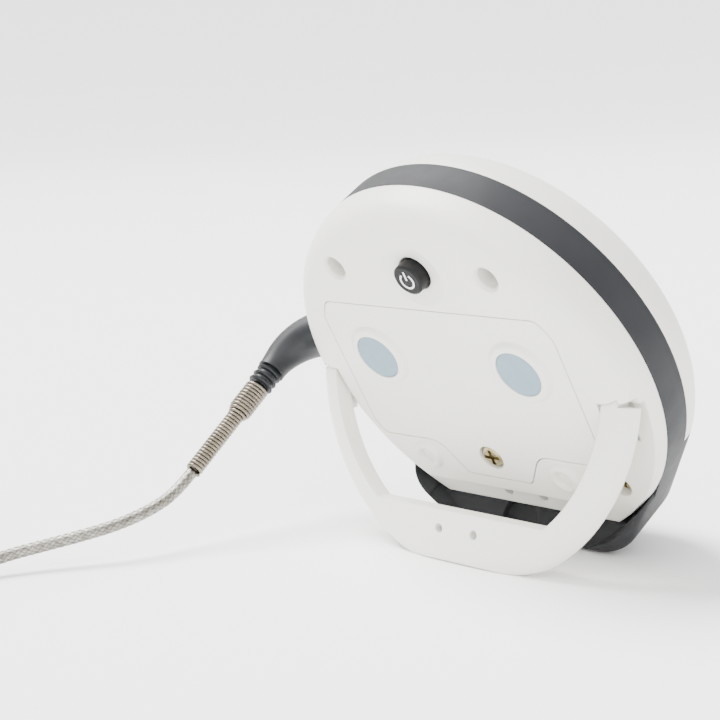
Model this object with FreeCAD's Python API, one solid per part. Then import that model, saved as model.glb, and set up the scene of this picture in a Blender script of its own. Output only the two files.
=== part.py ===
import FreeCAD, Part
import math
import os

from FreeCAD import Vector

# Round probe thermometer with a fold-out stand. Everything is drawn in the case's own axes:
# x to the right as seen from behind, y from the flat back towards the display, z up along the case,
# with the origin at the centre of the round back. At the end the case is stood on its foot and stand.

# ---------------------------------------------------------------- driving dimensions, mm and degrees
CASE_R = 41.0            # outside radius of the round case
CASE_DEPTH = 25.0        # flat back to display face
WALL = 1.8               # moulded wall
BAND_BACK = 7.54         # where the rear shell meets the dark band
BAND_FRONT = 14.54       # where the band meets the front bezel
BAND_WALL = 2.1
LIP = 1.3                # the band's locating lip reaches this far into each shell
FRONT_ROUND = 10.0       # rounding from the side to the display face
PANEL_TOP = -20.0        # the dark key panel lies below this height on the front
GAP = 0.15               # between moulded parts that meet
FIT = 0.05               # radial running fit

BACK_FLAT_R = 33.0       # the back is flat out to here, then rolls over to the band
ISLAND_R = 33.2          # round middle of the back, which the stand folds around
ISLAND_BOTTOM = -26.0
NEST_Y = 4.2             # floor that the folded stand lies on
NEST_BOTTOM = -33.8
NEST_WALL = 1.6
NEST_GAP = 0.35          # clear of the folded stand's bar

FOOT_BOTTOM = -41.4      # lowest line of the foot
FOOT_TANGENT = 33.0      # the foot's sides leave the circle this far below the horizontal, degrees
FOOT_CORNER_R = 11.0
FOOT_TOP = -23.0         # the foot reaches back under the case below this height
FOOT_ROUND = 4.4         # rounding of the foot's rear bottom edge
FOOT_REAR_CORNER = 7.0   # rounding of the foot's rear corners, seen from below
NEST_RIM_R = 41.45       # round rim of the foot around the folded stand
SCOOP_R = 4.7            # finger scoop in the foot
SCOOP_X = -2.7
SCOOP_DEPTH = 1.6

STAND_OPEN = 34.1        # how far the stand opens, degrees
PIVOT_Y = 3.2
PIVOT_Z = -1.2
PIVOT_PIN_R = 1.0
PIVOT_PIN_L = 2.2
STAND_IN_R = 34.0        # inside of the stand's arms
STAND_OUT_R = 40.5
STAND_T = 3.7
BAR_TOP = -26.4
BAR_BOTTOM = -36.6
BAR_ROUND = 1.2
HUB_R = 3.2
HUB_GAP = 0.3
HUB_OUT = 37.2           # the hub's outer end; beyond it the arm stops short of the shell
ARM_DROP = 0.8
ARM_RISE = 1.4           # room above the pivot's height for the end of the open arm
EAR_R = 1.9
EAR_W = 2.2
TAB_X = 34.2             # springy detent tab under each arm
TAB_T = 1.3
TAB_TOP = -6.6
TAB_BOTTOM = -10.2
TAB_DEPTH = 6.4
TAB_BUMP_R = 0.55
TAB_SLOT_GAP = 0.35
SOUND_X = 4.5            # sound holes, in the case and in the stand's bar
SOUND_Z = -30.15
SOUND_R = 0.9
SOUNDER_R = 5.6
SOUNDER_T = 2.4

BUTTON_X = 1.3           # power button on the back
BUTTON_Z = 26.2
BUTTON_R = 3.35
BUTTON_OUT = 1.7
BUTTON_FLANGE_R = 4.6
BUTTON_TRAVEL = 0.5
DISH_R = 7.0
DISH_DEPTH = 1.0
KEY_Z = -26.0            # three keys on the front
KEY_PITCH = 13.0
KEY_R = 3.4
KEY_FLANGE_R = KEY_R + 0.9
KEY_OUT = 0.9
KEY_TRAVEL = 0.5
KEY_GAP = 0.2

TOP_SCREW = (19.3, 26.5)
LOW_SCREW = (26.4, -24.0)
SCREW_HOLE_R = 2.3
SCREW_HEAD_R = 1.85
SCREW_HEAD_H = 1.4
SCREW_R = 1.0
POST_R = 2.6
TOP_HEAD_Y = 8.6         # the upper case screws sit deep in their holes
LOW_HEAD_Y = 5.4

COVER_T = 1.55
COVER_TOP = 18.0
COVER_HALF = 29.2
COVER_LOW = -15.4
COVER_TONGUE = -23.0
COVER_SCREW_Z = -17.9
COVER_HEAD_R = 2.55
COVER_SCREW_R = 1.25
MAGNET_X = 18.1
MAGNET_Z = 5.7
MAGNET_R = 5.0
MAGNET_T = 1.8
MAGNET_OUT = 0.75
RING_R = 6.9
RING_H = 0.9
BUMP_X = 17.7            # two moulded ring feet on the back
BUMP_Z = -19.8
BUMP_R = 3.6
BUMP_H = 1.0

CELL_R = 5.25            # AAA cells
CELL_L = 44.5
CELL_TIP_R = 1.9
CELL_TIP_L = 1.0
CELL_Y = 8.0
CELL_Z = (9.6, -1.2)
WELL_HALF = CELL_L / 2 + 3.15
WELL_LOW = CELL_Z[1] - CELL_R - 0.55
WELL_HIGH = CELL_Z[0] + CELL_R + 0.55
WELL_DEEP = CELL_Y + CELL_R + 0.35
WELL_WALL = 1.1

BOARD_Y = 15.0
BOARD_T = 1.2
BOARD_R = 34.4
WINDOW_R = 22.5
WINDOW_Z = 6.5
WINDOW_T = 1.5
LCD_W = 38.0
LCD_H = 28.0
LCD_T = 2.0
VIEW_W = 33.0
VIEW_H = 23.0

JACK_Z = 0.0
JACK_R = 3.0
JACK_L = 10.5
JACK_BORE_R = 1.3
PLUG_ROOT_R = 5.0
PLUG_END_R = 3.05
PLUG_BEND = 9.4          # radius of the plug's right-angle bend
PLUG_LEAN = 8.3          # the cable end points this far below straight back, degrees
PLUG_TAIL = 3.0
RIB_R = 2.85
RIB_PITCH = 1.5
SPRING_WIDE_R = 2.6
SPRING_THIN_R = 1.8
SPRING_WIDE_L = 7.0
SPRING_STEP_L = 1.7
SPRING_THIN_L = 15.6

CORD_D = 2.5             # braided stainless lead
COIL_AT = (88.0, 92.0)   # centre of the put-away coil, in the standing axes
COIL_R = 15.05           # middle turn of the coil
COIL_PITCH = 2.55
COIL_TURNS_ACROSS = 3
COIL_LAYERS = 4
PROBE_R = 1.65
PROBE_L = 112.0
PROBE_POINT = 9.0
FERRULE_R = 2.4
FERRULE_L = 16.0

# Where the nest's slope meets the back plane.
SLOPE_FOOT = BAR_BOTTOM - math.sqrt(2) * (BAR_ROUND + NEST_GAP)
PANEL_BACK = CASE_DEPTH - 2.0   # inside face of the key panel
JACK_Y = (BAND_BACK + BAND_FRONT) / 2
INNER_R = CASE_R - BAND_WALL
POST_HOLE_R = SCREW_R + 0.02
shapes = {}


# ---------------------------------------------------------------- drawing helpers
def block(x0, x1, y0, y1, z0, z1):
    """A box between two corners."""
    return Part.makeBox(x1 - x0, y1 - y0, z1 - z0, Vector(x0, y0, z0))


def disc(r, y0, y1, x=0.0, z=0.0):
    """A round piece whose axis runs front to back."""
    return Part.makeCylinder(r, y1 - y0, Vector(x, y0, z), Vector(0, 1, 0))


def shaft(r, x0, x1, y, z):
    """A round piece whose axis runs across the case."""
    return Part.makeCylinder(r, x1 - x0, Vector(x0, y, z), Vector(1, 0, 0))


def turned(points, at=Vector(0, 0, 0), along=Vector(0, 1, 0)):
    """A turned piece from (radius, length along the axis) points."""
    corners = [Vector(r, y, 0) for r, y in points]
    face = Part.Face(Part.makePolygon(corners + corners[:1]))
    piece = face.revolve(Vector(0, 0, 0), Vector(0, 1, 0), 360)
    piece.Placement = FreeCAD.Placement(at, FreeCAD.Rotation(Vector(0, 1, 0), along))
    return piece


def path(points, closed=False):
    """Straight runs joined by tangent arcs. Each point is (position, arc radius)."""
    spots = [Vector(*p[0]) for p in points]
    radii = [p[1] for p in points]
    count = len(spots)
    edges, begin, first = [], None, None
    order = range(count) if closed else range(1, count - 1)
    if not closed:
        begin = spots[0]
    for i in order:
        here = spots[i]
        back = (spots[i - 1] - here).normalize()
        ahead = (spots[(i + 1) % count] - here).normalize()
        turn = math.pi - back.getAngle(ahead)
        cut = radii[i] * math.tan(turn / 2)
        if cut < 1e-6:
            start, end = here, here
        else:
            start, end = here + back * cut, here + ahead * cut
        if begin is not None:
            edges.append(Part.LineSegment(begin, start).toShape())
        if first is None:
            first = start
        if cut >= 1e-6:
            bisect = (back + ahead).normalize()
            middle = here + bisect * (radii[i] / math.cos(turn / 2) - radii[i])
            edges.append(Part.Arc(start, middle, end).toShape())
        begin = end
    last = first if closed else spots[-1]
    if (last - begin).Length > 1e-6:
        edges.append(Part.LineSegment(begin, last).toShape())
    return Part.Wire(edges)


def plate(points, y0, y1):
    """A prism from (x, z, corner radius) points, between two depths."""
    wire = path([((x, y0, z), r) for x, z, r in points], closed=True)
    return Part.Face(wire).extrude(Vector(0, y1 - y0, 0))


def mirrored(points):
    """A half outline, from the middle round the right side, completed on the left."""
    return points + [(-x, z, r) for x, z, r in reversed(points) if x > 0]


def both(make):
    """A piece on the right and the same on the left."""
    right = make()
    return right.fuse(right.mirror(Vector(0, 0, 0), Vector(1, 0, 0)))


def fuse(*pieces):
    """Everything joined into one, with the seams between touching faces removed."""
    return pieces[0].multiFuse(list(pieces[1:])).removeSplitter()


def above(height):
    return block(-90, 90, -60, 60, height, 90)


def below(height):
    return block(-90, 90, -60, 60, -90, height)


def rounded(piece, radius, chosen):
    """Fillet the edges that chosen() picks."""
    return piece.makeFillet(radius, [e for e in piece.Edges if chosen(e)])


# ---------------------------------------------------------------- outer forms
def dome(grow=0.0):
    """The rolled back of the case: flat, then curving over to the band."""
    edge = CASE_R - BACK_FLAT_R
    spots = [
        (BACK_FLAT_R, 0.0),
        (BACK_FLAT_R + 0.47 * edge, 0.36),
        (BACK_FLAT_R + 0.72 * edge, 1.45),
        (BACK_FLAT_R + 0.88 * edge, 3.2),
        (BACK_FLAT_R + 0.96 * edge, 5.2),
        (CASE_R, BAND_BACK),
    ]
    spots = [Vector(r + grow, y - grow, 0) for r, y in spots]
    roll = Part.BSplineCurve()
    roll.interpolate(spots, InitialTangent=Vector(1, 0, 0), FinalTangent=Vector(0.06, 1, 0))
    top, bottom = Vector(0, -grow, 0), Vector(0, BAND_BACK, 0)
    edges = [Part.LineSegment(top, spots[0]).toShape(), roll.toShape()]
    if grow:
        edges.append(Part.LineSegment(spots[-1], Vector(CASE_R + grow, BAND_BACK, 0)).toShape())
        edges.append(Part.LineSegment(Vector(CASE_R + grow, BAND_BACK, 0), bottom).toShape())
    else:
        edges.append(Part.LineSegment(spots[-1], bottom).toShape())
    edges.append(Part.LineSegment(bottom, top).toShape())
    return Part.Face(Part.Wire(edges)).revolve(Vector(0, 0, 0), Vector(0, 1, 0), 360)


def outline(y0, y1):
    """The case's outline, a circle that runs straight into a flat foot, as a prism."""
    a = math.radians(FOOT_TANGENT)
    side = Vector(CASE_R * math.cos(a), 0, -CASE_R * math.sin(a))
    run = (side.z - FOOT_BOTTOM) / math.cos(a)
    corner = side + Vector(-math.sin(a), 0, -math.cos(a)) * run
    cut = FOOT_CORNER_R * math.tan((math.pi / 2 - a) / 2)
    start = corner + Vector(math.sin(a), 0, math.cos(a)) * cut
    end = corner - Vector(cut, 0, 0)
    centre = end + Vector(0, 0, FOOT_CORNER_R)
    way = ((start + end) * 0.5 - centre).normalize()
    middle = centre + way * FOOT_CORNER_R

    def flip(p):
        return Vector(-p.x, 0, p.z)

    edges = [
        Part.Arc(side, Vector(0, 0, CASE_R), flip(side)).toShape(),
        Part.LineSegment(flip(side), flip(start)).toShape(),
        Part.Arc(flip(start), flip(middle), flip(end)).toShape(),
        Part.LineSegment(flip(end), end).toShape(),
        Part.Arc(end, middle, start).toShape(),
        Part.LineSegment(start, side).toShape(),
    ]
    face = Part.Face(Part.Wire(edges))
    face.translate(Vector(0, y0, 0))
    return face.extrude(Vector(0, y1 - y0, 0))


def front_form():
    """Everything in front of the band, with its large rounding."""
    form = outline(BAND_FRONT, CASE_DEPTH)
    return rounded(form, FRONT_ROUND, lambda e: e.BoundBox.YMin > CASE_DEPTH - 0.01)


def stand_space(extra, floor_y, hub_y):
    """The room around the island that the folded stand needs, grown by extra."""
    island = disc(ISLAND_R - extra, -9, floor_y + 9).common(above(ISLAND_BOTTOM + extra))
    ring = disc(CASE_R + 9, -1, floor_y).cut(island)
    ends = ring.common(block(-90, 90, -9, 9, -90, PIVOT_Z + ARM_RISE + extra))
    ends = ends.cut(block(-HUB_OUT, HUB_OUT, -9, 9, -90, 90)).common(block(-90, 90, -9, PIVOT_Y, -90, 90))
    ring = fuse(ring.common(below(PIVOT_Z + extra)), ends)
    hub_r = HUB_R + HUB_GAP + extra
    hub = shaft(hub_r, ISLAND_R - extra, HUB_OUT + HUB_GAP + extra, PIVOT_Y, PIVOT_Z)
    hub = hub.common(block(0, 90, -9, hub_y, -90, 90))
    return fuse(ring, hub, hub.mirror(Vector(0, 0, 0), Vector(1, 0, 0)))


def tab_slot(extra, depth):
    """The slot in the nest's floor for one detent tab."""
    gap = TAB_SLOT_GAP + extra
    return block(TAB_X - gap, TAB_X + TAB_T + gap, NEST_Y - 1, depth,
                 TAB_BOTTOM - 1.1 - extra, TAB_TOP + 0.6 + extra)


def cover_outline(extra=0.0):
    """The battery cover: wide above, with a screw tongue below."""
    half, low, tongue = COVER_HALF + extra, COVER_LOW - extra, COVER_TONGUE - extra
    return mirrored([
        (half - 2.4, COVER_TOP + extra, 2.5),
        (half, COVER_TOP - 4.0, 4.0),
        (half, low + 3.0, 1.0),
        (half - 1.6, low, 1.5),
        (12.8 + extra, low, 4.6),
        (8.1 + extra, tongue, 1.5),
    ])


def well(extra, y0, y1):
    return block(-WELL_HALF - extra, WELL_HALF + extra, y0, y1, WELL_LOW - extra, WELL_HIGH + extra)


# ---------------------------------------------------------------- rear shell
def rear_shell():
    cavity = turned([
        (0, WALL), (BACK_FLAT_R + 1, WALL), (CASE_R - 3.6, 3.4), (INNER_R, 5.6),
        (INNER_R, BAND_BACK + 1), (0, BAND_BACK + 1),
    ])
    floor = NEST_Y + NEST_WALL
    walls = stand_space(NEST_WALL, floor, PIVOT_Y + 2.15 + NEST_WALL)
    slots = both(lambda: tab_slot(1.0, BAND_BACK))
    cavity = cavity.cut(walls).cut(slots)
    cavity = cavity.cut(disc(BUTTON_R + 2.2, 0, WALL + 1.2, BUTTON_X, BUTTON_Z))
    for x, z in (TOP_SCREW, LOW_SCREW):
        cavity = cavity.cut(both(lambda: disc(POST_R + 0.5, 0, BAND_BACK + 1, x, z)))
    shell = dome().cut(cavity)

    # the battery well with its rim, the cover's seat and the boss for the cover screw
    seat = plate(cover_outline(1.4), COVER_T + GAP, COVER_T + 1.6)
    box = well(WELL_WALL, WALL, WELL_DEEP + WELL_WALL)
    boss = disc(3.2, WALL, 10.0, 0, COVER_SCREW_Z)
    posts = both(lambda: disc(POST_R + 0.5, WALL, BAND_BACK + 3.4, *TOP_SCREW))
    shell = fuse(shell, seat.common(dome()), box, boss, posts)
    shell = shell.cut(plate(cover_outline(GAP), -1, COVER_T + GAP))
    shell = shell.cut(well(0, 0, WELL_DEEP))
    groove = well(1.5, COVER_T, COVER_T + 0.95).cut(well(0.55, COVER_T - 1, COVER_T + 2))
    hooks = both(lambda: block(9.7, 16.3, COVER_T, 4.5, COVER_TOP - 1.15, COVER_TOP + 1.6))
    shell = shell.cut(groove).cut(hooks)
    shell = shell.cut(disc(COVER_SCREW_R + 0.02, 0, 9.0, 0, COVER_SCREW_Z))
    shell = shell.cut(disc(4.2, COVER_T, COVER_T + 1.1, 0, COVER_SCREW_Z))

    # the nest for the stand, its pivots, the slots for its detents and the sound holes
    shell = shell.cut(stand_space(0, NEST_Y, PIVOT_Y + 2.15))
    shell = shell.cut(both(lambda: tab_slot(0, TAB_DEPTH + 0.4)))
    pin = both(lambda: shaft(PIVOT_PIN_R + FIT, ISLAND_R - 3, ISLAND_R + 1, PIVOT_Y, PIVOT_Z))
    shell = shell.cut(pin)
    shell = shell.cut(both(lambda: disc(SOUND_R + 0.2, 0, BAND_BACK, SOUND_X, SOUND_Z - 0.6)))
    shell = shell.common(above(NEST_BOTTOM))

    # screw holes, dish and hole for the power button, moulded ring feet
    for (x, z), head in ((TOP_SCREW, TOP_HEAD_Y), (LOW_SCREW, LOW_HEAD_Y)):
        shell = shell.cut(both(lambda: disc(SCREW_HOLE_R, -2, head + SCREW_HEAD_H, x, z)))
        shell = shell.cut(both(lambda: disc(POST_HOLE_R + 0.1, 0, 20, x, z)))
    mouth = turned([(0, -0.1), (SCREW_HOLE_R + 0.5, -0.1), (SCREW_HOLE_R, 0.7), (0, 0.7)],
                   Vector(TOP_SCREW[0], 0, TOP_SCREW[1]))
    shell = shell.cut(mouth).cut(mouth.mirror(Vector(0, 0, 0), Vector(1, 0, 0)))
    ball_r = (DISH_R ** 2 + DISH_DEPTH ** 2) / (2 * DISH_DEPTH)
    shell = shell.cut(Part.makeSphere(ball_r, Vector(BUTTON_X, DISH_DEPTH - ball_r, BUTTON_Z)))
    shell = shell.cut(disc(BUTTON_R + 0.25, -2, 20, BUTTON_X, BUTTON_Z))
    ring = turned([(BUMP_R, 0.1), (BUMP_R - 0.55, -BUMP_H * 0.8), (BUMP_R - 1.1, -BUMP_H),
                   (BUMP_R - 1.7, -BUMP_H * 0.75), (BUMP_R - 2.1, -0.1), (BUMP_R - 2.1, 0.1)],
                  Vector(BUMP_X, 0, BUMP_Z))
    return shell.fuse([ring, ring.mirror(Vector(0, 0, 0), Vector(1, 0, 0))]).removeSplitter()


# ---------------------------------------------------------------- band, foot and key panel
def mid_frame():
    ring = outline(BAND_BACK, BAND_FRONT).cut(disc(INNER_R, 0, 30).common(above(NEST_BOTTOM)))
    lip = disc(INNER_R - 0.1, BAND_BACK - LIP, BAND_FRONT + LIP)
    lip = lip.cut(disc(INNER_R - 1.1, 0, 30))
    lip = lip.common(above(NEST_BOTTOM + 1.2)).cut(block(-90, 90, 0, BAND_BACK + 1, -90, 4))
    for x, z in (TOP_SCREW, LOW_SCREW):
        lip = lip.cut(both(lambda: disc(POST_R + 0.9, 0, 30, x, z)))

    # the foot reaches back under the case; its rear corners and edges are well rounded
    plan = Part.makeBox(120, 60, 40, Vector(-60, 0, -80))
    half = CASE_R * math.cos(math.radians(FOOT_TANGENT)) - 5.6
    corners = [((half, 0, 0), FOOT_REAR_CORNER), ((half + 6, 24, 0), 0.0), ((-half - 6, 24, 0), 0.0),
               ((-half, 0, 0), FOOT_REAR_CORNER)]
    plan = Part.Face(path(corners, closed=True)).extrude(Vector(0, 0, 80))
    plan.translate(Vector(0, 0, -60))
    foot = outline(0, BAND_BACK).common(plan).common(below(FOOT_TOP))
    low = FOOT_BOTTOM + 0.5
    foot = rounded(foot, FOOT_ROUND, lambda e: e.BoundBox.YMax < 0.01 and e.BoundBox.ZMax < low)
    nest = disc(CASE_R + GAP, -1, BAND_BACK).common(above(NEST_BOTTOM - GAP))
    slope = Part.Face(Part.makePolygon([
        Vector(0, -1, NEST_BOTTOM + 1), Vector(0, NEST_Y + 1, NEST_BOTTOM + 1),
        Vector(0, NEST_Y + 1, NEST_BOTTOM - GAP), Vector(0, NEST_Y, NEST_BOTTOM - GAP),
        Vector(0, NEST_Y, SLOPE_FOOT + NEST_Y), Vector(0, -1, SLOPE_FOOT - 1),
        Vector(0, -1, NEST_BOTTOM + 1),
    ])).extrude(Vector(120, 0, 0))
    slope.translate(Vector(-60, 0, 0))
    nest = fuse(nest, slope.common(disc(NEST_RIM_R, -2, BAND_BACK)))
    foot = foot.cut(nest)
    foot = foot.cut(scoop_cut())

    panel = front_form().common(below(PANEL_TOP))
    hollow = panel_hollow()
    panel = panel.cut(hollow)
    posts = both(lambda: disc(POST_R, BAND_BACK + GAP, CASE_DEPTH - 2, *LOW_SCREW))
    tongue = block(-26, 26, 20.4, 22.0, PANEL_TOP - 1.5, PANEL_TOP + 2.2)
    frame = fuse(ring, lip, foot, panel, posts, tongue)
    frame = frame.cut(both(lambda: disc(POST_HOLE_R, 0, 20, *LOW_SCREW)))
    for i in (-1, 0, 1):
        frame = frame.cut(disc(KEY_R + KEY_GAP, 15, 40, i * KEY_PITCH, KEY_Z))
    frame = frame.cut(shaft(JACK_R + GAP, -CASE_R - 5, -20, JACK_Y, JACK_Z))
    return frame


def scoop_cut():
    """A round fingertip scoop in the foot's sloping floor."""
    centre_y = NEST_Y * 0.5
    centre_z = SLOPE_FOOT + centre_y
    slope = Vector(0, 0.7071, -0.7071)
    start = Vector(SCOOP_X, centre_y, centre_z) - slope * 4
    return Part.makeCylinder(SCOOP_R, 4 + SCOOP_DEPTH, start, slope)


def panel_hollow():
    """The room inside the key panel."""
    inner = disc(INNER_R - 0.2, BAND_FRONT - 1, 20.4).common(above(NEST_BOTTOM))
    deep = disc(31.0, BAND_FRONT - 1, PANEL_BACK).common(above(NEST_BOTTOM))
    keys = [disc(KEY_FLANGE_R + 0.4, BAND_FRONT, PANEL_BACK, i * KEY_PITCH, KEY_Z) for i in (-1, 0, 1)]
    return fuse(inner, deep, *keys)


# ---------------------------------------------------------------- front bezel and display
def front_bezel():
    form = front_form().common(above(PANEL_TOP + GAP))
    inner = disc(INNER_R, BAND_FRONT - 1, 18.0)
    inner = inner.fuse(disc(35.0, BAND_FRONT - 1, 21.5)).fuse(disc(30.5, BAND_FRONT - 1, CASE_DEPTH - 2.2))
    bezel = form.cut(inner)
    posts = both(lambda: disc(POST_R, BAND_BACK + 3.4 + GAP, CASE_DEPTH - 2, *TOP_SCREW))
    bezel = fuse(bezel, posts)
    bezel = bezel.cut(both(lambda: disc(POST_HOLE_R, 0, 20, *TOP_SCREW)))
    bezel = bezel.cut(disc(WINDOW_R + GAP, CASE_DEPTH - WINDOW_T - 0.3, 40, 0, WINDOW_Z))
    bezel = bezel.cut(disc(WINDOW_R - 1.6, 10, 40, 0, WINDOW_Z))
    catch = block(-26 - GAP, 26 + GAP, 20.4 - GAP, 22.0 + GAP, -30, PANEL_TOP + 2.2 + GAP)
    return bezel.cut(catch)


def display():
    face = CASE_DEPTH - 0.3
    shapes["display_window"] = disc(WINDOW_R, face - WINDOW_T, face, 0, WINDOW_Z)
    holder = disc(WINDOW_R - 1.75, 18.4, face - WINDOW_T - GAP, 0, WINDOW_Z)
    opening = block(-VIEW_W / 2, VIEW_W / 2, 0, 40, WINDOW_Z - VIEW_H / 2, WINDOW_Z + VIEW_H / 2)
    seat = block(-LCD_W / 2 - 0.1, LCD_W / 2 + 0.1, 0, 20.6,
                 WINDOW_Z - LCD_H / 2 - 0.1, WINDOW_Z + LCD_H / 2 + 0.1)
    shapes["lcd_holder"] = holder.cut(opening).cut(seat)
    shapes["lcd_panel"] = block(-LCD_W / 2, LCD_W / 2, 20.6 - LCD_T, 20.6,
                                WINDOW_Z - LCD_H / 2, WINDOW_Z + LCD_H / 2)
    strips = [block(-16, 16, BOARD_Y + BOARD_T, 20.6 - LCD_T, z - 0.9, z + 0.9)
              for z in (WINDOW_Z + LCD_H / 2 - 1.6, WINDOW_Z - LCD_H / 2 + 1.6)]
    shapes["lcd_contact_strips"] = Part.Compound(strips)


# ---------------------------------------------------------------- board and what is on it
def electronics():
    board = disc(BOARD_R, BOARD_Y, BOARD_Y + BOARD_T).common(above(NEST_BOTTOM + 2.4))
    for x, z in (TOP_SCREW, LOW_SCREW):
        board = board.cut(both(lambda: disc(POST_R + 0.4, 0, 30, x, z)))
    shapes["main_board"] = board
    body = block(BUTTON_X - 3, BUTTON_X + 3, BOARD_Y - 3.0, BOARD_Y, BUTTON_Z - 3, BUTTON_Z + 3)
    shapes["power_switch"] = body.fuse(disc(1.7, BOARD_Y - 3.6, BOARD_Y - 3.0, BUTTON_X, BUTTON_Z))
    switches = []
    for i in (-1, 0, 1):
        x, front = i * KEY_PITCH, BOARD_Y + BOARD_T
        body = block(x - 3, x + 3, front, front + 3.0, KEY_Z - 3, KEY_Z + 3)
        switches.append(body.fuse(disc(1.7, front + 3.0, front + 3.6, x, KEY_Z)))
    shapes["key_switches"] = Part.Compound(switches)
    chip = block(-6, 6, BOARD_Y + BOARD_T, BOARD_Y + BOARD_T + 1.2, -18, -8)
    small = [block(x, x + 2, BOARD_Y + BOARD_T, BOARD_Y + BOARD_T + 0.9, z, z + 1.2)
             for x in (-24, -19, 17, 22) for z in (-12, -7, -2)]
    shapes["board_chips"] = Part.Compound([chip] + small)
    back = NEST_Y + NEST_WALL + 0.2
    shapes["sounder"] = disc(SOUNDER_R, back, back + SOUNDER_T, 0, SOUND_Z + 2.6)
    jack = shaft(JACK_R, -INNER_R - BAND_WALL + 0.3, -CASE_R + JACK_L, JACK_Y, JACK_Z)
    jack = jack.cut(shaft(JACK_BORE_R, -CASE_R - 1, -CASE_R + JACK_L - 1.2, JACK_Y, JACK_Z))
    shapes["probe_jack"] = jack


def case_screws():
    """Four screws, driven from the back."""
    screws = []
    for (x, z), head in ((TOP_SCREW, TOP_HEAD_Y), (LOW_SCREW, LOW_HEAD_Y)):
        for side in (-1, 1):
            screws.append(screw(SCREW_HEAD_R, SCREW_HEAD_H, SCREW_R, 10.0, Vector(side * x, head, z)))
    return Part.Compound(screws)


def screw(head_r, head_h, r, length, at):
    """A cross-head screw, its head's outer face at the given place, pointing into the case."""
    piece = turned([
        (0, 0), (head_r * 0.7, 0), (head_r * 0.93, head_h * 0.22), (head_r, head_h * 0.55), (head_r, head_h),
        (r, head_h), (r, head_h + length - r), (r * 0.3, head_h + length), (0, head_h + length),
    ], at)
    arm, width = head_r * 0.72, head_r * 0.16
    for a, b in ((arm, width), (width, arm)):
        piece = piece.cut(block(at.x - a, at.x + a, at.y - 1, at.y + head_h * 0.6, at.z - b, at.z + b))
    return piece


# ---------------------------------------------------------------- buttons
def power_button():
    """Rubber cap through the back, with an inner flange and a stem down to its switch."""
    cap = turned([
        (0, -BUTTON_OUT), (BUTTON_R - 0.55, -BUTTON_OUT), (BUTTON_R - 0.15, -BUTTON_OUT + 0.3),
        (BUTTON_R, WALL + 1.5), (BUTTON_FLANGE_R, WALL + 1.5), (BUTTON_FLANGE_R, WALL + 2.3),
        (1.3, WALL + 2.3), (1.3, BOARD_Y - 3.6 - BUTTON_TRAVEL - GAP),
        (0, BOARD_Y - 3.6 - BUTTON_TRAVEL - GAP),
    ], Vector(BUTTON_X, 0, BUTTON_Z))
    return cap


def front_key(x):
    """A key cap through the panel, with an inner flange and a stem down to its switch."""
    top, flange = CASE_DEPTH + KEY_OUT, PANEL_BACK - 0.05
    tip = BOARD_Y + BOARD_T + 3.6 + KEY_TRAVEL + GAP
    return turned([
        (0, top), (KEY_R - 0.5, top), (KEY_R, top - 0.4), (KEY_R, flange), (KEY_FLANGE_R, flange),
        (KEY_FLANGE_R, flange - 0.85), (1.3, flange - 0.85), (1.3, tip), (0, tip),
    ], Vector(x, 0, KEY_Z))


# ---------------------------------------------------------------- battery cover, magnets, cells
def battery_cover():
    cover = plate(cover_outline(), 0, COVER_T)
    ring = turned([(MAGNET_R - 0.5, 0.2), (RING_R, 0.2), (RING_R, 0), (RING_R - 0.25, -0.32),
                   (RING_R - 0.65, -RING_H * 0.85), (RING_R - 1.2, -RING_H), (MAGNET_R - 0.5, -RING_H)],
                  Vector(MAGNET_X, 0, MAGNET_Z))
    back = disc(RING_R - 0.6, COVER_T - 0.2, COVER_T + 0.7, MAGNET_X, MAGNET_Z)
    pads = [ring, back]
    pads += [p.mirror(Vector(0, 0, 0), Vector(1, 0, 0)) for p in pads]
    boss = disc(4.0, COVER_T - 0.2, COVER_T + 0.95, 0, COVER_SCREW_Z)
    hook = block(10, 16, COVER_T - 0.2, 4.2, COVER_TOP - 1.0, COVER_TOP - 0.1)
    hook = hook.fuse(block(10, 16, 3.4, 4.2, COVER_TOP - 1.0, COVER_TOP + 1.3))
    cover = fuse(cover, *pads, boss, hook, hook.mirror(Vector(0, 0, 0), Vector(1, 0, 0)))
    pocket = both(lambda: disc(MAGNET_R + 0.03, -5, MAGNET_T - MAGNET_OUT, MAGNET_X, MAGNET_Z))
    cover = cover.cut(pocket)
    cover = cover.cut(disc(COVER_HEAD_R + 0.3, -5, COVER_T - 0.1, 0, COVER_SCREW_Z))
    return cover.cut(disc(COVER_SCREW_R + 0.15, -5, 9, 0, COVER_SCREW_Z))


def magnet(side):
    piece = disc(MAGNET_R, -MAGNET_OUT, MAGNET_T - MAGNET_OUT, side * MAGNET_X, MAGNET_Z)
    return rounded(piece, 0.2, lambda e: e.BoundBox.YMax < -MAGNET_OUT + 0.01)


def cover_seal():
    outer = well(1.4, COVER_T + 0.1, COVER_T + 0.9)
    return outer.cut(well(0.65, 0, 9))


def cell(z, side):
    """An AAA cell lying across the case, its tip towards the given side."""
    half = CELL_L / 2
    length = [(0, -half), (CELL_R - 0.5, -half), (CELL_R, -half + 0.5), (CELL_R, half - CELL_TIP_L - 0.5),
              (CELL_R - 0.5, half - CELL_TIP_L), (CELL_TIP_R, half - CELL_TIP_L),
              (CELL_TIP_R, half), (0, half)]
    return turned(length, Vector(0, CELL_Y, z), Vector(side, 0, 0))


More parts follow.
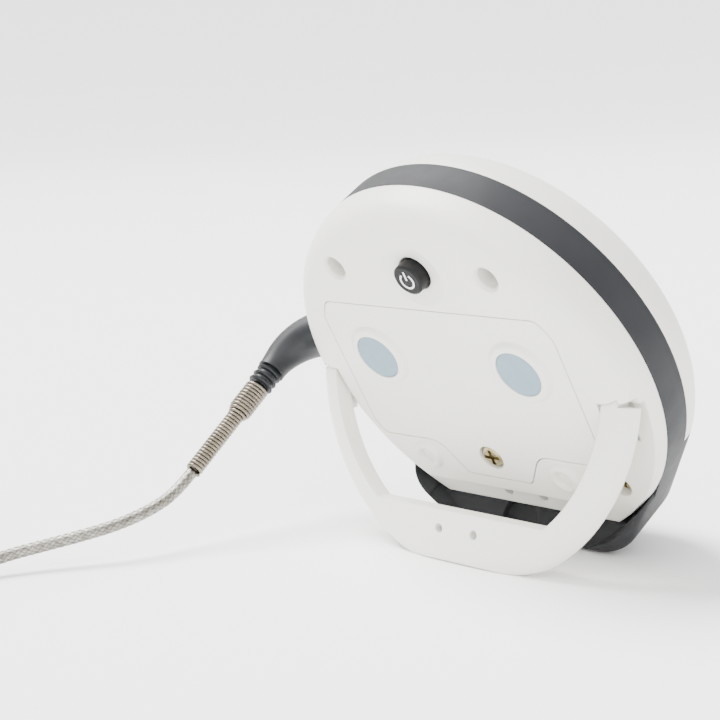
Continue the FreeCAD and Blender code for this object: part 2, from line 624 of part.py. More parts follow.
def contacts():
    """Spring and plate contacts at the ends of the cells."""
    springs, plates = [], []
    for z, side in zip(CELL_Z, (1, -1)):
        wall, end = -side * WELL_HALF, -side * CELL_L / 2
        length = abs(wall - end) - 0.5
        coil = turned([(1.4, 0), (3.6, 0), (2.4, length), (1.2, length)],
                      Vector(wall + side * 0.4, CELL_Y, z), Vector(side, 0, 0))
        springs.append(coil)
        for face in (-side, side):
            x = face * WELL_HALF
            low, high = sorted((x, x - face * 0.4))
            plates.append(block(low, high, CELL_Y - 4, CELL_Y + 4, z - 4.2, z + 4.2))
        tip = side * CELL_L / 2
        low, high = sorted((tip + side * 0.05, side * (WELL_HALF - 0.4)))
        plates.append(shaft(2.2, low, high, CELL_Y, z))
    return Part.Compound(springs), plates


# ---------------------------------------------------------------- stand
def folded_stand():
    """The U-shaped stand as it lies in its nest, flush with the back."""
    ring = disc(STAND_OUT_R, 0, STAND_T).cut(disc(STAND_IN_R, -1, 9))
    arms = ring.common(below(PIVOT_Z)).common(above(BAR_TOP - 2))
    arms = arms.cut(both(lambda: block(HUB_OUT, 90, -9, 9, PIVOT_Z - ARM_DROP, 90)))
    hub = shaft(HUB_R, 0, HUB_OUT, PIVOT_Y, PIVOT_Z).common(block(0, 90, -9, PIVOT_Y, -90, 90))
    hub = hub.common(disc(STAND_OUT_R, -9, 9).cut(disc(STAND_IN_R, -9, 9)))
    low = BAR_BOTTOM + BAR_ROUND
    section = bar_section(low)
    bar = section.common(disc(STAND_OUT_R, -1, 9))
    bar = bar.cut(disc(STAND_IN_R, -1, 9).common(above(BAR_TOP)))
    ear = shaft(EAR_R, STAND_IN_R, STAND_IN_R + EAR_W, PIVOT_Y, PIVOT_Z)
    link = block(STAND_IN_R, STAND_IN_R + EAR_W, 1, STAND_T, PIVOT_Z - 3, PIVOT_Z)
    pin = shaft(PIVOT_PIN_R, STAND_IN_R - PIVOT_PIN_L, STAND_IN_R + 1, PIVOT_Y, PIVOT_Z)
    tab = block(TAB_X, TAB_X + TAB_T, 1, TAB_DEPTH, TAB_BOTTOM, TAB_TOP)
    bump = shaft(TAB_BUMP_R, TAB_X - 0.25, TAB_X + 1, TAB_DEPTH - 0.8, (TAB_TOP + TAB_BOTTOM) / 2)
    sides = [fuse(ear, link, pin, tab, bump)]
    sides.append(sides[0].mirror(Vector(0, 0, 0), Vector(1, 0, 0)))
    hubs = [hub, hub.mirror(Vector(0, 0, 0), Vector(1, 0, 0))]
    body = fuse(arms, bar, *hubs).common(dome())
    body = fuse(body, *sides)
    return body.cut(both(lambda: disc(SOUND_R, -9, 9, SOUND_X, SOUND_Z)))


def bar_section(low):
    """The bar's section: flat outside, a round lower edge and a sloping underside."""
    c, r = Vector(0, BAR_ROUND, low), BAR_ROUND
    slope = math.sqrt(0.5)
    foot = c + Vector(0, r * slope, -r * slope)
    rise = STAND_T - foot.y
    edges = [
        Part.LineSegment(Vector(0, 0, BAR_TOP), Vector(0, 0, low)).toShape(),
        Part.Arc(Vector(0, 0, low), c + Vector(0, -r * slope, -r * slope), c + Vector(0, 0, -r)).toShape(),
        Part.Arc(c + Vector(0, 0, -r), c + Vector(0, r * 0.3827, -r * 0.9239), foot).toShape(),
        Part.LineSegment(foot, foot + Vector(0, rise, rise)).toShape(),
        Part.LineSegment(foot + Vector(0, rise, rise), Vector(0, STAND_T, BAR_TOP)).toShape(),
        Part.LineSegment(Vector(0, STAND_T, BAR_TOP), Vector(0, 0, BAR_TOP)).toShape(),
    ]
    face = Part.Face(Part.Wire(edges))
    face.translate(Vector(-CASE_R, 0, 0))
    return face.extrude(Vector(2 * CASE_R, 0, 0))


def opened(y, z):
    """Where a point of the folded stand goes when the stand is open."""
    a = math.radians(STAND_OPEN)
    dy, dz = y - PIVOT_Y, z - PIVOT_Z
    return PIVOT_Y + dy * math.cos(a) + dz * math.sin(a), PIVOT_Z - dy * math.sin(a) + dz * math.cos(a)


def stand():
    piece = folded_stand()
    piece.rotate(Vector(0, PIVOT_Y, PIVOT_Z), Vector(1, 0, 0), -STAND_OPEN)
    return piece


# ---------------------------------------------------------------- standing on a table
def lean():
    """How far the case leans back when its foot and its stand both touch the table."""
    foot_y, foot_z = FOOT_ROUND, FOOT_BOTTOM + FOOT_ROUND
    bar_y, bar_z = opened(BAR_ROUND, BAR_BOTTOM + BAR_ROUND)
    dy, dz = foot_y - bar_y, foot_z - bar_z
    span = math.hypot(dy, dz)
    return math.asin((FOOT_ROUND - BAR_ROUND) / span) - math.atan2(dz, dy)


LEAN = lean()
TABLE = FOOT_ROUND * math.sin(LEAN) + (FOOT_BOTTOM + FOOT_ROUND) * math.cos(LEAN) - FOOT_ROUND


def tilted(shift):
    """From the case's axes to the standing object: display to -Y, up to +Z, table at z = 0."""
    c, s = math.cos(LEAN), math.sin(LEAN)
    return FreeCAD.Placement(FreeCAD.Matrix(-1, 0, 0, 0, 0, -c, s, shift, 0, s, c, -TABLE, 0, 0, 0, 1))


def standing():
    """The same, with the origin at the middle of the standing object's footprint."""
    whole = Part.Compound([shapes[name] for name in FOOTPRINT])
    whole.Placement = tilted(0)
    return tilted(-whole.optimalBoundingBox(False, False).Center.y)


# ---------------------------------------------------------------- plug, strain relief
def plug_line():
    """The way the plug's tail points, and where its bend ends, in the case's axes."""
    a = math.radians(PLUG_LEAN)
    way = Vector(0, -math.cos(a), -math.sin(a))
    root = Vector(-CASE_R - 3.6, JACK_Y, JACK_Z)
    return root, way, root + Vector(-PLUG_BEND, 0, 0) + way * PLUG_BEND


def plug():
    """The moulded right-angle plug, tapering round its bend to three soft ribs."""
    root, way, bend_end = plug_line()
    centre = root + way * PLUG_BEND
    sections = [circle(root + Vector(3.3, 0, 0), Vector(-1, 0, 0), PLUG_ROOT_R)]
    steps = 6
    for i in range(steps + 1):
        turn = i / steps * math.pi / 2
        spot = centre + way * (-PLUG_BEND * math.cos(turn)) + Vector(-PLUG_BEND * math.sin(turn), 0, 0)
        along = Vector(-math.cos(turn), 0, 0) + way * math.sin(turn)
        r = PLUG_ROOT_R + (PLUG_END_R + 0.25 - PLUG_ROOT_R) * (i / steps) ** 1.7
        sections.append(circle(spot, along, r))
    tail_end = bend_end + way * PLUG_TAIL
    sections.append(circle(tail_end, way, PLUG_END_R))
    return fuse(Part.makeLoft(sections, True), turned(rib_profile(), tail_end, way))


def spring_start():
    root, way, bend_end = plug_line()
    return bend_end + way * (PLUG_TAIL + rib_profile()[-1][1])


def spring_end():
    """The way the lead leaves the spring, and where, in the case's axes."""
    way = plug_line()[1]
    return way, spring_start() + way * (SPRING_WIDE_L + SPRING_STEP_L + SPRING_THIN_L)


def strain_spring():
    """A close-wound spring that steps down to the lead; it is drawn as its outer form."""
    step = SPRING_WIDE_L + SPRING_STEP_L
    end = step + SPRING_THIN_L
    return turned([(0, 0), (SPRING_WIDE_R, 0), (SPRING_WIDE_R, SPRING_WIDE_L), (SPRING_THIN_R, step),
                   (SPRING_THIN_R, end), (0, end)], spring_start(), plug_line()[1])


def circle(centre, normal, r):
    return Part.Wire(Part.Circle(centre, normal, r).toShape())


def rib_profile():
    """Three soft ribs on a thinner neck."""
    neck = RIB_R - 0.65
    points = [(0, -0.5), (neck, -0.5)]
    for i in range(3):
        start = 0.35 + i * RIB_PITCH
        points += [(neck, start), (RIB_R - 0.15, start + 0.2), (RIB_R, start + 0.5),
                   (RIB_R - 0.15, start + 0.8), (neck, start + 1.0)]
    length = 0.35 + 3 * RIB_PITCH - 0.35
    return points + [(neck, length), (0, length)]


# ---------------------------------------------------------------- lead, coil and probe
def lead_route(start, way):
    """The lead from the spring to its coil, in the standing axes. The points are chosen by hand: out of
    the spring, levelling off, and down to the table beside the coil."""
    return [start, start + way * 6.0] + [Vector(*p) for p in (
        (54.4, 45.0, 9.0), (56.2, 51.8, 7.3), (59.6, 58.2, 6.0), (63.4, 64.6, 4.8), (66.6, 71.4, 3.8),
        (68.8, 78.6, 2.3), (69.8, 86.0, CORD_D / 2), (70.5, 92.6, CORD_D / 2),
    )]


def tail_route():
    """The lead from the top of the coil down to the probe's ferrule, which lies on the table."""
    return [Vector(*p) for p in (
        (101.1, 103.8, 8.9), (106.5, 98.1, 8.4), (112.1, 92.4, 6.5), (118.1, 86.8, 4.0),
        (124.0, 81.2, FERRULE_R),
    )]


def cord_tube(points):
    """A tube of straight runs and the largest tangent arcs that they allow."""
    radii = [0.0]
    for i in range(1, len(points) - 1):
        back, ahead = points[i - 1] - points[i], points[i + 1] - points[i]
        turn = math.pi - back.getAngle(ahead)
        radii.append(0.45 * min(back.Length, ahead.Length) / math.tan(turn / 2))
    radii.append(0.0)
    wire = path([((p.x, p.y, p.z), r) for p, r in zip(points, radii)])
    ring = circle(points[0], points[1] - points[0], CORD_D / 2)
    tube = wire.makePipeShell([ring], True, False)
    section = math.pi * CORD_D ** 2 / 4
    print("arc radii, mm:", [round(r, 1) for r in radii[1:-1]])
    print("volume", round(tube.Volume, 2), "section x length", round(section * wire.Length, 2),
          "length", round(wire.Length, 1))
    return tube


def lead(place):
    """The lead, its coil, and the probe on its end."""
    way, exit_point = spring_end()
    shapes["lead"] = cord_tube(lead_route(place.multVec(exit_point), place.Rotation.multVec(way)))
    across, along = (COIL_TURNS_ACROSS - 1) / 2 * COIL_PITCH, COIL_LAYERS - 1
    inner, outer = COIL_R - across - CORD_D / 2, COIL_R + across + CORD_D / 2
    top = CORD_D + along * COIL_PITCH
    coil = [(inner, 0), (outer, 0), (outer, top), (inner, top)]
    shapes["lead_coil"] = turned(coil, Vector(*COIL_AT, 0), Vector(0, 0, 1))
    tail = tail_route()
    shapes["lead_tail"] = cord_tube(tail)
    way = Vector(tail[-1].x - tail[-2].x, tail[-1].y - tail[-2].y, 0).normalize()
    shapes["probe_ferrule"] = turned([
        (0, 0), (FERRULE_R - 0.4, 0), (FERRULE_R, 0.5), (FERRULE_R, FERRULE_L - 2.5),
        (PROBE_R + 0.1, FERRULE_L), (0, FERRULE_L),
    ], tail[-1], way)
    sag = math.atan2(FERRULE_R - PROBE_R, PROBE_L)
    down = way * math.cos(sag) - Vector(0, 0, math.sin(sag))
    shapes["probe_needle"] = turned([
        (0, 0), (PROBE_R, 0), (PROBE_R, PROBE_L - PROBE_POINT), (0.25, PROBE_L), (0, PROBE_L),
    ], tail[-1] + way * FERRULE_L, down)


def build():
    """Every piece, drawn in the case's axes, then stood on the table with the lead beside it."""
    shapes["rear_shell"] = rear_shell()
    shapes["mid_frame"] = mid_frame()
    shapes["front_bezel"] = front_bezel()
    display()
    electronics()
    shapes["case_screws"] = case_screws()
    shapes["power_button"] = power_button()
    for name, side in (("down_key", 1), ("alarm_key", 0), ("up_key", -1)):
        shapes[name] = front_key(side * KEY_PITCH)
    shapes["battery_cover"] = battery_cover()
    shapes["cover_seal"] = cover_seal()
    shapes["cover_screw"] = screw(COVER_HEAD_R, 1.35, COVER_SCREW_R, 7.0, Vector(0, 0.1, COVER_SCREW_Z))
    shapes["magnet_left"] = magnet(-1)
    shapes["magnet_right"] = magnet(1)
    shapes["upper_cell"] = cell(CELL_Z[0], 1)
    shapes["lower_cell"] = cell(CELL_Z[1], -1)
    springs, plates = contacts()
    shapes["contact_springs"] = springs
    shapes["contact_plates"] = Part.Compound(plates)
    shapes["stand"] = stand()
    shapes["plug_body"] = plug()
    shapes["plug_pin"] = shaft(JACK_BORE_R - FIT, -CASE_R - 0.3, -CASE_R + JACK_L - 1.6, JACK_Y, JACK_Z)
    shapes["strain_spring"] = strain_spring()
    place = standing()
    print("lean", round(math.degrees(LEAN), 2), "table", round(TABLE, 3), "from case axes:", place)
    for shape in shapes.values():
        shape.Placement = place.multiply(shape.Placement)
    lead(place)


FOOTPRINT = ("rear_shell", "mid_frame", "front_bezel", "power_button", "alarm_key", "stand")
build()
os.makedirs("parts", exist_ok=True)
for name, shape in shapes.items():
    shape.exportStep("parts/%s.step" % name)
    print("%-20s valid %s solids %d volume %.1f" % (name, shape.isValid(), len(shape.Solids), shape.Volume))
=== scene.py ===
import math

import bpy
import numpy as np
from mathutils import Matrix, Vector


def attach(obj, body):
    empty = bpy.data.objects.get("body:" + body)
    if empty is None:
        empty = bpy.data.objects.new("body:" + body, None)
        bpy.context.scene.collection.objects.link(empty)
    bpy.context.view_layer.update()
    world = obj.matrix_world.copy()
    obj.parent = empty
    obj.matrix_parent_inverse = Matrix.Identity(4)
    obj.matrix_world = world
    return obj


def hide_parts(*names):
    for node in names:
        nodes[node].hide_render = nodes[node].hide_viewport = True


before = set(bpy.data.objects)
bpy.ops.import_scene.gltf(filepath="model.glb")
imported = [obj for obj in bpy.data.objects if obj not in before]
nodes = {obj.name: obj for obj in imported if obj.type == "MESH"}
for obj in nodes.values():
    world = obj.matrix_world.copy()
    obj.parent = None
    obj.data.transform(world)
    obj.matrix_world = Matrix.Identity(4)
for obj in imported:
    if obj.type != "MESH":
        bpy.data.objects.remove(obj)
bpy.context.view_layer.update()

# ---------------------------------------------------------------- how the case stands
# The thermometer leans back on its foot and its open stand. Its pieces are sized in the case's own axes,
# in millimetres: x to the right as seen from behind, y from the flat back to the display, z up the case.
LEAN = math.radians(29.105)
CASE_RISE = 34.588
CASE_SHIFT = 10.347


def standing(x, y, z):
    """A point of the case, in millimetres, as a point of the standing thermometer, in metres."""
    cos, sin = math.cos(LEAN), math.sin(LEAN)
    return Vector((-x, z * sin - y * cos + CASE_SHIFT, y * sin + z * cos + CASE_RISE)) / 1000


# ---------------------------------------------------------------- camera
# A long lens looks at the back from its upper right. Its place and directions are in the case's axes.
CAMERA_AT = (224.81, -181.20, 172.64)
CAMERA_RIGHT = (0.6985484, 0.6020591, -0.3867233)
CAMERA_DOWN = (0.0900895, -0.6101431, -0.7871527)
CAMERA_AHEAD = (-0.7098690, 0.5150245, -0.4804537)
FOCAL_LENGTH = 88.04
SENSOR_WIDTH = 36.0

origin = standing(0, 0, 0)
right, down, ahead = [(standing(*way) - origin).normalized()
                      for way in (CAMERA_RIGHT, CAMERA_DOWN, CAMERA_AHEAD)]
lens = bpy.data.cameras.new("camera")
lens.lens = FOCAL_LENGTH
lens.sensor_width = SENSOR_WIDTH
lens.clip_start = 0.01
camera = bpy.data.objects.new("camera", lens)
turned = Matrix((right, -down, -ahead)).transposed().to_4x4()
camera.matrix_world = Matrix.Translation(standing(*CAMERA_AT)) @ turned
bpy.context.scene.collection.objects.link(camera)
bpy.context.scene.camera = camera


# ---------------------------------------------------------------- braided lead
# The lead is a heat-proof cable in a sleeve braided from fine stainless wire, 2.5 mm across. It comes out
# of the plug's spring, levels off and comes down to the table. The rest is wound into a neat coil, and
# it ends in the steel probe.
LEAD_DIAMETER = 0.0025
EXIT = Vector((0.0540, 0.033429, 0.014931))
EXIT_WAY = Vector((0.0, 0.794365, -0.607440))
ROUTE = [
    EXIT, EXIT + EXIT_WAY * 0.006,
    (0.0544, 0.0450, 0.0090), (0.0562, 0.0518, 0.0073), (0.0596, 0.0582, 0.0060), (0.0634, 0.0646, 0.0048),
    (0.0666, 0.0714, 0.0038), (0.0688, 0.0786, 0.0023), (0.0698, 0.0860, 0.00125),
]
TAIL = [
    (0.1011, 0.1038, 0.0089), (0.1065, 0.0981, 0.0084), (0.1121, 0.0924, 0.0065), (0.1181, 0.0868, 0.0040),
    (0.1240, 0.0812, 0.0024),
]
COIL_CENTRE = (0.088, 0.092)
COIL_OUTER = 0.0176
COIL_PITCH = 0.00255
COIL_ACROSS = 3           # turns side by side in a layer
COIL_TURNS = 11 + 138 / 360
CROSSING = 0.7            # the part of a turn after which the cord moves over to the next turn
POINTS_A_TURN = 16
CURVE_STEPS = 12          # points between two points of the route
LEAD_STEP = 0.00032       # between two rings of the tube
LEAD_SIDES = 32


def eased(value, begin):
    """Nothing until begin, then a smooth rise to 1."""
    t = max(0.0, (value - begin) / (1 - begin))
    return t * t * (3 - 2 * t)


def coil_points():
    """The turns, wound clockwise in layers: inwards, up, outwards, up."""
    points = []
    for i in range(1, round(COIL_TURNS * POINTS_A_TURN)):
        turn, part = divmod(i / POINTS_A_TURN, 1)
        layer, column = divmod(int(turn), COIL_ACROSS)
        last = column == COIL_ACROSS - 1
        across = column + (0 if last else eased(part, CROSSING))
        if layer % 2:
            across = COIL_ACROSS - 1 - across
        radius = COIL_OUTER - across * COIL_PITCH
        height = LEAD_DIAMETER / 2 + (layer + (eased(part, CROSSING) if last else 0)) * COIL_PITCH
        angle = math.pi - 2 * math.pi * i / POINTS_A_TURN
        points.append((COIL_CENTRE[0] + radius * math.cos(angle),
                       COIL_CENTRE[1] + radius * math.sin(angle), height))
    return points


def smooth_line(name, points, steps):
    """The points of a NURBS curve through a route."""
    curve = bpy.data.curves.new(name, "CURVE")
    curve.dimensions = "3D"
    curve.resolution_u = steps
    spline = curve.splines.new("NURBS")
    spline.points.add(len(points) - 1)
    for spot, point in zip(spline.points, points):
        spot.co = (*point, 1)
    spline.order_u = 3
    spline.use_endpoint_u = True
    helper = bpy.data.objects.new(name, curve)
    mesh = bpy.data.meshes.new_from_object(helper)
    line = np.array([v.co for v in mesh.vertices])
    bpy.data.objects.remove(helper)
    bpy.data.meshes.remove(mesh)
    return line


def evenly(line, gap):
    """The same line with its points a steady distance apart."""
    lengths = np.concatenate([[0], np.cumsum(np.linalg.norm(np.diff(line, axis=0), axis=1))])
    marks = np.linspace(0, lengths[-1], max(2, round(lengths[-1] / gap)))
    return np.stack([np.interp(marks, lengths, line[:, k]) for k in range(3)], axis=1)


def tube(name, line, around, radius_at, uv_length=1.0):
    """A closed tube swept along a line. radius_at(angles, lengths) gives its surface."""
    steps = np.linalg.norm(np.diff(line, axis=0), axis=1)
    lengths = np.concatenate([[0], np.cumsum(steps)])
    ways = np.gradient(line, axis=0)
    ways /= np.linalg.norm(ways, axis=1)[:, None]
    side = np.cross(ways[0], (0.0, 0.0, 1.0) if abs(ways[0][2]) < 0.9 else (1.0, 0.0, 0.0))
    sides = []
    for way in ways:
        side = side - way * side.dot(way)
        side = side / np.linalg.norm(side)
        sides.append(side)
    sides = np.array(sides)
    ups = np.cross(ways, sides)
    angles = np.arange(around) / around * 2 * math.pi
    radii = radius_at(angles[None, :], lengths[:, None])
    spots = line[:, None] + radii[..., None] * (
        np.cos(angles)[None, :, None] * sides[:, None] + np.sin(angles)[None, :, None] * ups[:, None])
    count = len(line)
    ring, step = np.meshgrid(np.arange(around), np.arange(count - 1))
    after = (ring + 1) % around
    corners = [step * around + ring, step * around + after,
               (step + 1) * around + after, (step + 1) * around + ring]
    faces = np.stack(corners, axis=-1).reshape(-1, 4).tolist()
    faces.append(list(range(around))[::-1])
    faces.append(list(range((count - 1) * around, count * around)))
    mesh = bpy.data.meshes.new(name)
    mesh.from_pydata(spots.reshape(-1, 3).tolist(), [], faces)
    uv = mesh.uv_layers.new(name="along")
    us = np.stack([ring, ring + 1, ring + 1, ring], axis=-1) / around
    vs = np.stack([lengths[step], lengths[step], lengths[step + 1], lengths[step + 1]], axis=-1) / uv_length
    flat = np.zeros((len(mesh.loops), 2))
    flat[:us.size, 0], flat[:us.size, 1] = us.ravel(), vs.ravel()
    uv.data.foreach_set("uv", flat.ravel())
    for face in mesh.polygons:
        face.use_smooth = True
    mesh.update()
    piece = bpy.data.objects.new(name, mesh)
    bpy.context.scene.collection.objects.link(piece)
    return piece


BRAID_LAY = 0.0115         # the length in which a bundle goes once round
BRAID_BUNDLES = 8          # each way round
BRAID_DEPTH = 0.00028
BUNDLE_CROWN = 0.9         # how round a bundle is across and along
BUNDLE_DIP = 0.45          # how far it dips at its ends
WIRES_A_BUNDLE = 5


def braid_surface(angles, lengths):
    """Bundles of wire that cross over and under each other round the sleeve."""
    one = BRAID_BUNDLES * (angles / (2 * math.pi) + lengths / BRAID_LAY)
    two = BRAID_BUNDLES * (angles / (2 * math.pi) - lengths / BRAID_LAY)
    over = (np.floor(one) + np.floor(two)) % 2 == 0
    across = np.where(over, one, two) % 1 * 2 - 1
    along = np.where(over, two, one) % 1 * 2 - 1
    dip = 1 - BUNDLE_DIP + BUNDLE_DIP * np.sqrt(1 - (BUNDLE_CROWN * along) ** 2)
    height = np.sqrt(1 - (BUNDLE_CROWN * across) ** 2) * dip
    return LEAD_DIAMETER / 2 - BRAID_DEPTH * (1 - height)


def linear(code):
    """An sRGB hex colour as linear numbers for a shader."""
    parts = [int(code[i:i + 2], 16) / 255 for i in (1, 3, 5)]
    return (*[c / 12.92 if c <= 0.04045 else ((c + 0.055) / 1.055) ** 2.4 for c in parts], 1.0)


def add(tree, kind, wires=None, **values):
    """Adds a node, with its settings and links."""
    made = tree.nodes.new("ShaderNode" + kind)
    for name, value in values.items():
        if hasattr(made, name):
            setattr(made, name, value)
        elif name.startswith("in"):
            made.inputs[int(name[2:])].default_value = value
        else:
            made.inputs[name.replace("_", " ")].default_value = value
    for socket, source in (wires or {}).items():
        tree.links.new(source, made.inputs[socket])
    return made


def finish_material(name, code, **values):
    """A new material: its node tree, its shader, and the place on the piece in metres."""
    made = bpy.data.materials.new(name)
    made.use_nodes = True
    tree = made.node_tree
    shader = tree.nodes["Principled BSDF"]
    shader.inputs["Base Color"].default_value = linear(code)
    for socket, value in values.items():
        shader.inputs[socket.replace("_", " ")].default_value = value
    place = add(tree, "TexCoord").outputs["Object"]
    return made, tree, shader, place


def noise(tree, place, scale, detail, roughness=0.5):
    """A noise from 0 to 1, with its scale in bumps a metre."""
    made = add(tree, "TexNoise", {"Vector": place}, Scale=scale, Detail=detail, Roughness=roughness)
    return made.outputs["Fac"]


def mottle(tree, shader, factor, dark, light):
    """The base colour goes from dark to light with the factor."""
    tone = add(tree, "Mix", {0: factor}, data_type="RGBA")
    tone.inputs[6].default_value = linear(dark)
    tone.inputs[7].default_value = linear(light)
    tree.links.new(tone.outputs[2], shader.inputs["Base Color"])


def roughen(tree, shader, factor, low, high, start=0.0, end=1.0):
    """The roughness goes from low to high as the factor goes from start to end."""
    spread = add(tree, "MapRange", {0: factor}, in1=start, in2=end, in3=low, in4=high)
    tree.links.new(spread.outputs[0], shader.inputs["Roughness"])


def relief(tree, shader, height, strength, depth, edge_radius=None):
    """Fine relief in the surface, over softened edges where a radius is given."""
    wires = {"Height": height}
    if edge_radius is not None:
        wires["Normal"] = add(tree, "Bevel", samples=6, Radius=edge_radius).outputs[0]
    bump = add(tree, "Bump", wires, Strength=strength, Distance=depth)
    tree.links.new(bump.outputs[0], shader.inputs["Normal"])


def wear(piece, made):
    """Gives a piece one material."""
    piece.data.materials.clear()
    piece.data.materials.append(made)


# Stainless wire, the fine wires side by side. The base colour carries painted shade: it darkens towards
# each bundle's edges, in the crossings, so each crown stays bright.
braid, tree, shader, place = finish_material("braided_stainless_wire", "#B9B5AC",
                                             Metallic=1.0, Roughness=0.34)
along = add(tree, "UVMap", uv_map="along").outputs[0]
parts = add(tree, "SeparateXYZ", {0: along}).outputs
u = add(tree, "Math", {0: parts[0]}, operation="MULTIPLY", in1=float(BRAID_BUNDLES)).outputs[0]
v = add(tree, "Math", {0: parts[1]}, operation="MULTIPLY", in1=float(BRAID_BUNDLES)).outputs[0]
one = add(tree, "Math", {0: u, 1: v}, operation="ADD").outputs[0]
two = add(tree, "Math", {0: u, 1: v}, operation="SUBTRACT").outputs[0]
cells = [add(tree, "Math", {0: s}, operation="FLOOR").outputs[0] for s in (one, two)]
parity = add(tree, "Math", {0: cells[0], 1: cells[1]}, operation="ADD").outputs[0]
parity = add(tree, "Math", {0: parity}, operation="PINGPONG", in1=1.0).outputs[0]
across = add(tree, "Mix", {0: parity, 2: one, 3: two}).outputs[0]
wires = add(tree, "Math", {0: across}, operation="MULTIPLY", in1=float(WIRES_A_BUNDLE)).outputs[0]
wires = add(tree, "Math", {0: wires}, operation="PINGPONG", in1=0.5).outputs[0]
edge = add(tree, "Math", {0: across}, operation="PINGPONG", in1=0.5).outputs[0]
# painted shade: the base colour falls to 0.22 of its light tone at each bundle's edges, where it dips under
# the next bundle, and scratch noise then adds random tone
painted_shade_and_scratches = add(tree, "MapRange", {0: edge}, in1=0.0, in2=0.3, in3=0.22, in4=1.0).outputs[0]
scratch = noise(tree, place, 900.0, 3.0)
painted_shade_and_scratches = add(tree, "Math", {0: painted_shade_and_scratches, 1: scratch}, operation="MULTIPLY").outputs[0]
mottle(tree, shader, painted_shade_and_scratches, "#37342F", "#C6C2B8")
relief(tree, shader, wires, 0.55, 0.00006)

line = evenly(smooth_line("lead_line", ROUTE + coil_points() + TAIL, CURVE_STEPS), LEAD_STEP)
lead = tube("lead_braid", line, LEAD_SIDES, braid_surface, BRAID_LAY)
wear(lead, braid)
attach(lead, "case")
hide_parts("lead", "lead_coil", "lead_tail")

# ---------------------------------------------------------------- strain relief spring
# A close-wound spring of stainless wire steps down from the plug to the lead. The wire is polished
# by drawing, a little warm in tone, with dark lines between its turns.
SPRING_LENGTH = 0.0243
SPRING_WIDE_LENGTH = 0.0070
SPRING_STEP_LENGTH = 0.0017
SPRING_WIDE = 0.0026
SPRING_THIN = 0.0018
WIRE = 0.00041             # radius of the wire
WIRE_PITCH = 0.00080
WIRE_SIDES = 10
POINTS_A_WIRE_TURN = 26

spring_start = EXIT - EXIT_WAY * SPRING_LENGTH
cross_one = Vector((1, 0, 0))
cross_two = EXIT_WAY.cross(cross_one)
turn_count = (SPRING_LENGTH - 2 * WIRE) / WIRE_PITCH
helix = []
for i in range(int(turn_count * POINTS_A_WIRE_TURN)):
    angle = i / POINTS_A_WIRE_TURN * 2 * math.pi
    height = WIRE + i / POINTS_A_WIRE_TURN * WIRE_PITCH
    step = min(1.0, max(0.0, (height - SPRING_WIDE_LENGTH) / SPRING_STEP_LENGTH))
    radius = SPRING_WIDE + (SPRING_THIN - SPRING_WIDE) * step - WIRE
    out = cross_one * math.cos(angle) + cross_two * math.sin(angle)
    helix.append(spring_start + EXIT_WAY * height + out * radius)
spring = tube("relief_spring", np.array(helix), WIRE_SIDES,
              lambda angles, lengths: WIRE + 0 * angles + 0 * lengths)

drawn_wire, tree, shader, place = finish_material("drawn_stainless_wire", "#A79F92",
                                                  Metallic=1.0, Roughness=0.25)
streaks = noise(tree, place, 1500.0, 4.0)
roughen(tree, shader, streaks, 0.2, 0.42)
grime = noise(tree, place, 260.0, 2.0)
mottle(tree, shader, grime, "#554E45", "#9A9284")
wear(spring, drawn_wire)
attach(spring, "case")
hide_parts("strain_spring")

# ---------------------------------------------------------------- probe
# The needle is drawn stainless tube, ground to a point and polished lengthways. Its ferrule is turned.
polished, tree, shader, place = finish_material("polished_stainless_tube", "#BEBEBC",
                                                Metallic=1.0, Roughness=0.2)
grain = noise(tree, place, 2200.0, 3.0)
roughen(tree, shader, grain, 0.14, 0.34)
relief(tree, shader, grain, 0.15, 0.00003)
for name in ("probe_ferrule", "probe_needle", "plug_pin"):
    wear(nodes[name], polished)

# ---------------------------------------------------------------- right-angle plug
# The plug is moulded over the lead's end in a soft slate-coloured rubber, with a fine spark-eroded skin.
plug_rubber, tree, shader, place = finish_material("moulded_slate_rubber", "#23262B", Roughness=0.46,
                                                Specular_IOR_Level=0.35)
skin = noise(tree, place, 1800.0, 2.0)
soft = noise(tree, place, 140.0, 3.0)
roughen(tree, shader, soft, 0.38, 0.56)
mottle(tree, shader, soft, "#101215", "#181B1F")
relief(tree, shader, skin, 0.22, 0.00004)
wear(nodes["plug_body"], plug_rubber)

# ---------------------------------------------------------------- white shells
# Rear shell, front bezel, battery cover and stand are moulded in white ABS. The mould's fine matt finish
# gives a soft sheen, and handling leaves it a little smoother in places.
ABS_GRAIN = 0.00035
EDGE_SOFTNESS = 0.0004

white_abs, tree, shader, place = finish_material("moulded_white_abs", "#DCDCD8", Roughness=0.36, IOR=1.53)
grain = noise(tree, place, 1 / ABS_GRAIN, 2.0)
cloud = noise(tree, place, 45.0, 4.0)
roughen(tree, shader, cloud, 0.3, 0.46)
mottle(tree, shader, cloud, "#E6E4DC", "#EEECE5")
relief(tree, shader, grain, 0.12, 0.00004, edge_radius=EDGE_SOFTNESS)
for name in ("rear_shell", "front_bezel", "battery_cover", "stand"):
    wear(nodes[name], white_abs)

# ---------------------------------------------------------------- dark band, foot and key panel
# One moulding in slate-grey ABS, with a satin finish that shows light rubbing marks along the band.
slate_abs, tree, shader, place = finish_material("moulded_slate_abs", "#303134", Roughness=0.55, IOR=1.53,
                                             Specular_IOR_Level=0.22)
grain = noise(tree, place, 1 / ABS_GRAIN, 2.0)
cloud = noise(tree, place, 90.0, 6.0, 0.6)
roughen(tree, shader, cloud, 0.48, 0.66, 0.3, 0.7)
mottle(tree, shader, cloud, "#1F2023", "#2C2D30")
relief(tree, shader, grain, 0.2, 0.00004, edge_radius=EDGE_SOFTNESS)
wear(nodes["mid_frame"], slate_abs)


